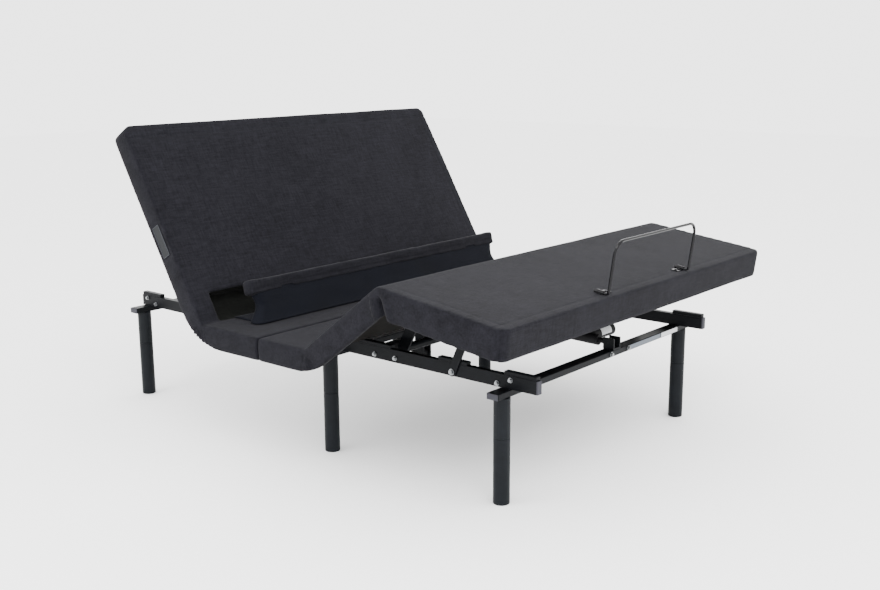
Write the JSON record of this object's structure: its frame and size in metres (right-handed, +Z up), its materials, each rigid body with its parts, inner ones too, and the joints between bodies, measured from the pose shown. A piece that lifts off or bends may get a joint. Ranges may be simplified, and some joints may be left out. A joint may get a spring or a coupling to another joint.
{
  "type": "adjustable bed base",
  "caption": "Queen-size adjustable bed base with hinged padded deck sections, lumbar support, retainer bar and steel frame on round legs.",
  "frame": {"origin": "on the floor, under the middle of the raised bed's bounding box", "axes": "+Z up, +Y towards the head of the bed, +X towards a lying person's left when face up, the far side in the picture"},
  "size_m": [1.5216, 1.9324, 1.043],
  "materials": {
    "linen": "matt charcoal linen-look weave",
    "stretch_fabric": "smooth navy stretch knit",
    "black_steel": "satin black powder coat",
    "black_rod": "semi-gloss black coating",
    "grey_plastic": "matt grey moulding",
    "black_plastic": "fine-grained black moulding",
    "zinc": "zinc plated",
    "board": "black-stained plywood",
    "silver_tag": "woven silver-grey tag"
  },
  "bodies": {
    "base": {"leg_lower_foot_left": "black_steel", "leg_lower_foot_right": "black_steel", "leg_lower_mid_left": "black_steel", "leg_lower_mid_right": "black_steel", "leg_lower_head_left": "black_steel", "leg_lower_head_right": "black_steel", "leg_upper_foot_left": "black_steel", "leg_upper_foot_right": "black_steel", "leg_upper_mid_left": "black_steel", "leg_upper_mid_right": "black_steel", "leg_upper_head_left": "black_steel", "leg_upper_head_right": "black_steel", "cross_member_foot": "black_steel", "cross_member_mid_left": "black_steel", "cross_member_mid_right": "black_steel", "cross_member_head": "black_steel", "side_rail_left": "black_steel", "side_rail_right": "black_steel", "rail_cap_foot_left": "grey_plastic", "rail_cap_foot_right": "grey_plastic", "seat_bearer_left": "black_steel", "seat_bearer_right": "black_steel", "rest_block_knee_left": "black_steel", "rest_block_knee_right": "black_steel", "rest_block_foot_left": "black_steel", "rest_block_foot_right": "black_steel", "rest_block_head_left": "black_steel", "rest_block_head_right": "black_steel", "foot_motor_bracket": "black_steel", "head_motor_bracket": "black_steel", "control_box": "black_plastic", "seat_board": "board", "seat_pad_head": "linen", "seat_pad_foot": "linen"},
    "back": {"back_pad": "linen", "back_board": "board", "back_frame": "black_steel", "back_bar_left": "black_steel", "back_bar_right": "black_steel", "side_tag": "silver_tag", "lumbar_guide_left": "black_steel", "lumbar_guide_right": "black_steel", "lumbar_sleeve": "stretch_fabric"},
    "lumbar_carriage": {"lumbar_carriage": "black_steel"},
    "lumbar": {"lumbar_board": "linen"},
    "thigh": {"thigh_pad": "linen", "thigh_board": "board", "thigh_lift_frame": "black_steel"},
    "calf": {"calf_pad": "linen", "calf_board": "board", "retainer_bar": "black_rod", "strut_bracket_left": "black_steel", "strut_bracket_right": "black_steel"},
    "struts": {"strut_left": "black_steel", "strut_right": "black_steel"},
    "head_actuator": {"head_motor": "black_plastic"},
    "head_rod": {"head_rod": "zinc"},
    "foot_actuator": {"foot_motor": "black_plastic"},
    "foot_rod": {"foot_rod": "zinc"}
  },
  "joints": [
    {"name": "back_hinge", "type": "hinge", "parent": "base", "child": "back", "pos_m": [0, 0.2714, 0.418], "axis": [1, 0, 0], "range_deg": [-59.5, 0]},
    {"name": "lumbar_slide", "type": "slide", "parent": "back", "child": "lumbar_carriage", "axis": [0, -0.9306, 0.3661], "range_m": [-0.18134, 0], "deforming": ["lumbar_sleeve"]},
    {"name": "lumbar_tilt", "type": "hinge", "parent": "lumbar_carriage", "child": "lumbar", "pos_m": [0, 0.17066, 0.50526], "axis": [1, 0, 0], "range_deg": [-0.2, 74.7]},
    {"name": "thigh_hinge", "type": "hinge", "parent": "base", "child": "thigh", "pos_m": [0, -0.2106, 0.418], "axis": [-1, 0, 0], "range_deg": [-37.6, 0]},
    {"name": "knee_hinge", "type": "hinge", "parent": "thigh", "child": "calf", "pos_m": [0, -0.51631, 0.63071], "axis": [1, 0, 0], "range_deg": [-45.5, 0.2]},
    {"name": "strut_hinge", "type": "hinge", "parent": "base", "child": "struts", "pos_m": [0, -0.5726, 0.356], "axis": [1, 0, 0], "range_deg": [-0.2, 63.2]},
    {"name": "head_motor_hinge", "type": "hinge", "parent": "base", "child": "head_actuator", "pos_m": [-0.06, -0.0726, 0.235], "axis": [1, 0, 0], "range_deg": [-13.62, 0]},
    {"name": "head_rod_slide", "type": "slide", "parent": "head_actuator", "child": "head_rod", "axis": [0, 0.9579, 0.287], "range_m": [-0.1322, 0]},
    {"name": "foot_motor_hinge", "type": "hinge", "parent": "base", "child": "foot_actuator", "pos_m": [0.07, -0.7566, 0.362], "axis": [1, 0, 0], "range_deg": [-9.84, 0]},
    {"name": "foot_rod_slide", "type": "slide", "parent": "foot_actuator", "child": "foot_rod", "axis": [0, 0.9997, 0.0242], "range_m": [0, 0.0643]}
  ],
  "couplings": [
    {"joint": "lumbar_tilt", "follows": "lumbar_slide", "rad_per_m": -7.1705},
    {"joint": "knee_hinge", "follows": "thigh_hinge", "ratio": 1.2048},
    {"joint": "strut_hinge", "follows": "thigh_hinge", "ratio": -1.6755},
    {"joint": "head_motor_hinge", "follows": "back_hinge", "ratio": 0.22555},
    {"joint": "head_rod_slide", "follows": "back_hinge", "m_per_rad": 0.12534},
    {"joint": "foot_motor_hinge", "follows": "thigh_hinge", "ratio": 0.25638},
    {"joint": "foot_rod_slide", "follows": "thigh_hinge", "m_per_rad": -0.094956}
  ]
}
